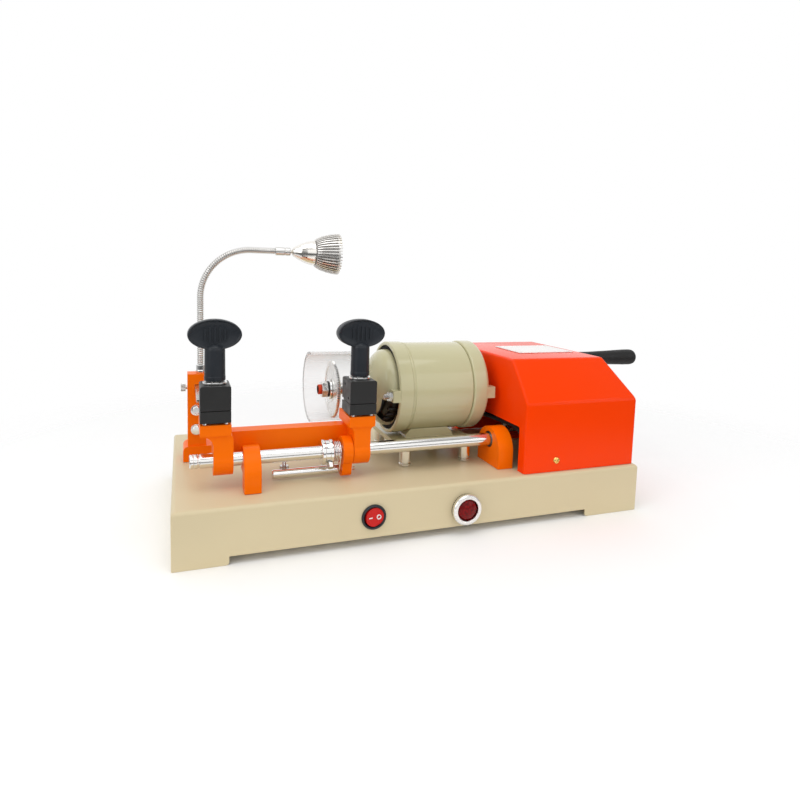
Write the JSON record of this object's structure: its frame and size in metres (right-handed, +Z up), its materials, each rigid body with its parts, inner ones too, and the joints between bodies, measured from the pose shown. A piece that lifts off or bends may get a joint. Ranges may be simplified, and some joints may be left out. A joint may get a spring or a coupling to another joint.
{
  "type": "key duplicating machine",
  "caption": "Bench-top key duplicating machine: motor-driven slotting cutter, fixed tracer, sliding and tilting two-vise carriage, gooseneck lamp.",
  "frame": {"origin": "centre of the whole machine's footprint box on the bench", "axes": "+X along the machine from the vises to the hand lever, +Y away from the operator, +Z up"},
  "size_m": [0.598, 0.2516, 0.2895],
  "materials": {
    "base_paint": "fine-textured beige powder coat",
    "casting_paint": "glossy orange enamel over a casting",
    "cover_paint": "smooth orange-red enamel on sheet steel",
    "motor_paint": "glossy khaki enamel",
    "chrome": "polished plating",
    "steel": "turned and ground steel",
    "black_oxide": "blackened steel",
    "black_plastic": "fine-grained moulded plastic",
    "black_pvc": "flexible cable sheath",
    "brass": "plated screw",
    "aluminium": "turned, lightly polished",
    "clear_plastic": "clear sheet",
    "red_lens": "translucent red lens",
    "red_plastic": "moulded red rocker",
    "label": "blank plate",
    "lamp_glass": "frosted lens"
  },
  "bodies": {
    "base": {"base_housing": "base_paint", "base_bottom_cover": "base_paint", "power_inlet": "black_plastic", "switch_bezel": "black_plastic", "pilot_bezel": "chrome", "pilot_lens": "red_lens", "left_shaft_post": "casting_paint", "right_shaft_block": "casting_paint", "motor_body": "motor_paint", "motor_front_bell": "motor_paint", "motor_rear_bell": "motor_paint", "motor_saddle": "motor_paint", "motor_tie_bolt": "steel", "motor_cable": "black_pvc", "motor_pillar_front_left": "chrome", "motor_pillar_front_right": "chrome", "motor_pillar_rear_left": "chrome", "motor_pillar_rear_right": "chrome", "cutter_guard": "clear_plastic", "tracer_post": "casting_paint", "tracer_bolt_upper": "steel", "tracer_bolt_lower": "steel", "lamp_base_ferrule": "chrome", "drive_cover": "cover_paint", "cover_screw": "brass", "label_plate": "label", "lever_pivot": "steel"},
    "spindle": {"motor_spindle": "steel", "cutter_wheel": "steel", "cutter_flange": "steel", "arbor_nut": "steel"},
    "sliding_shaft": {"main_shaft": "chrome", "shaft_pin": "steel", "shaft_collar": "chrome", "collar_screw": "steel"},
    "lever": {"feed_lever": "black_oxide", "lever_grip": "black_plastic"},
    "carriage": {"carriage_frame": "casting_paint", "spring_ear": "casting_paint", "torsion_spring": "steel", "spring_rod": "chrome", "stop_bolt": "steel", "lower_jaw_left": "black_oxide", "lower_jaw_right": "black_oxide", "clamp_stud_left": "steel", "clamp_stud_right": "steel"},
    "jaw_left": {"upper_jaw_left": "black_oxide", "clamp_washer_left": "chrome"},
    "knob_left": {"clamp_knob_left": "black_plastic"},
    "jaw_right": {"upper_jaw_right": "black_oxide", "clamp_washer_right": "chrome"},
    "knob_right": {"clamp_knob_right": "black_plastic"},
    "rocker": {"switch_rocker": "red_plastic"},
    "tracer_finger": {"tracer_blade": "steel"},
    "tracer_screw": {"tracer_thumb_screw": "steel"},
    "lamp_neck": {"gooseneck": "steel", "lamp_neck_ferrule": "chrome"},
    "lamp_head": {"lamp_cone": "aluminium", "lamp_heat_sink": "aluminium", "lamp_lens": "lamp_glass"}
  },
  "joints": [
    {"name": "cutter_spin", "type": "hinge", "parent": "base", "child": "spindle", "pos_m": [-0.1412, -0.01305, 0.1255], "axis": [1, 0, 0], "continuous": true},
    {"name": "carriage_slide", "type": "slide", "parent": "base", "child": "sliding_shaft", "axis": [1, 0, 0], "range_m": [-0.055, 0.007]},
    {"name": "lever_swing", "type": "hinge", "parent": "base", "child": "lever", "pos_m": [0.102, 0.04295, 0.1417], "axis": [0, 0, 1], "range_deg": [-27, 3.6]},
    {"name": "carriage_tilt", "type": "hinge", "parent": "sliding_shaft", "child": "carriage", "pos_m": [-0.195, -0.06955, 0.0765], "axis": [1, 0, 0], "range_deg": [-10, 35], "stiffness_Nm_per_rad": 8},
    {"name": "jaw_lift_left", "type": "slide", "parent": "carriage", "child": "jaw_left", "axis": [0, 0, 1], "range_m": [0, 0.0052]},
    {"name": "knob_turn_left", "type": "hinge", "parent": "jaw_left", "child": "knob_left", "pos_m": [-0.2622, -0.07005, 0.19], "axis": [0, 0, 1], "range_deg": [0, 1080]},
    {"name": "jaw_lift_right", "type": "slide", "parent": "carriage", "child": "jaw_right", "axis": [0, 0, 1], "range_m": [0, 0.0052]},
    {"name": "knob_turn_right", "type": "hinge", "parent": "jaw_right", "child": "knob_right", "pos_m": [-0.1288, -0.07005, 0.19], "axis": [0, 0, 1], "range_deg": [0, 1080]},
    {"name": "switch_rock", "type": "hinge", "parent": "base", "child": "rocker", "pos_m": [-0.1262, -0.11485, 0.0271], "axis": [0, 0, 1], "range_deg": [-16, 0]},
    {"name": "tracer_adjust", "type": "slide", "parent": "base", "child": "tracer_finger", "axis": [0, 1, 0], "range_m": [-0.002, 0.003]},
    {"name": "tracer_screw_turn", "type": "hinge", "parent": "base", "child": "tracer_screw", "pos_m": [-0.287, 0.02395, 0.1255], "axis": [1, 0, 0], "range_deg": [0, 360]},
    {"name": "lamp_swivel", "type": "hinge", "parent": "base", "child": "lamp_neck", "pos_m": [-0.2715, 0.02395, 0.16], "axis": [0, 0, 1], "range_deg": [-90, 90]},
    {"name": "lamp_tilt", "type": "hinge", "parent": "lamp_neck", "child": "lamp_head", "pos_m": [-0.18, 0.02395, 0.2674], "axis": [0, 1, 0], "range_deg": [-20, 20]}
  ],
  "couplings": [
    {"joint": "lever_swing", "follows": "carriage_slide", "rad_per_m": 8.42},
    {"joint": "knob_turn_left", "follows": "jaw_lift_left", "rad_per_m": 3590.4},
    {"joint": "knob_turn_right", "follows": "jaw_lift_right", "rad_per_m": 3590.4}
  ]
}
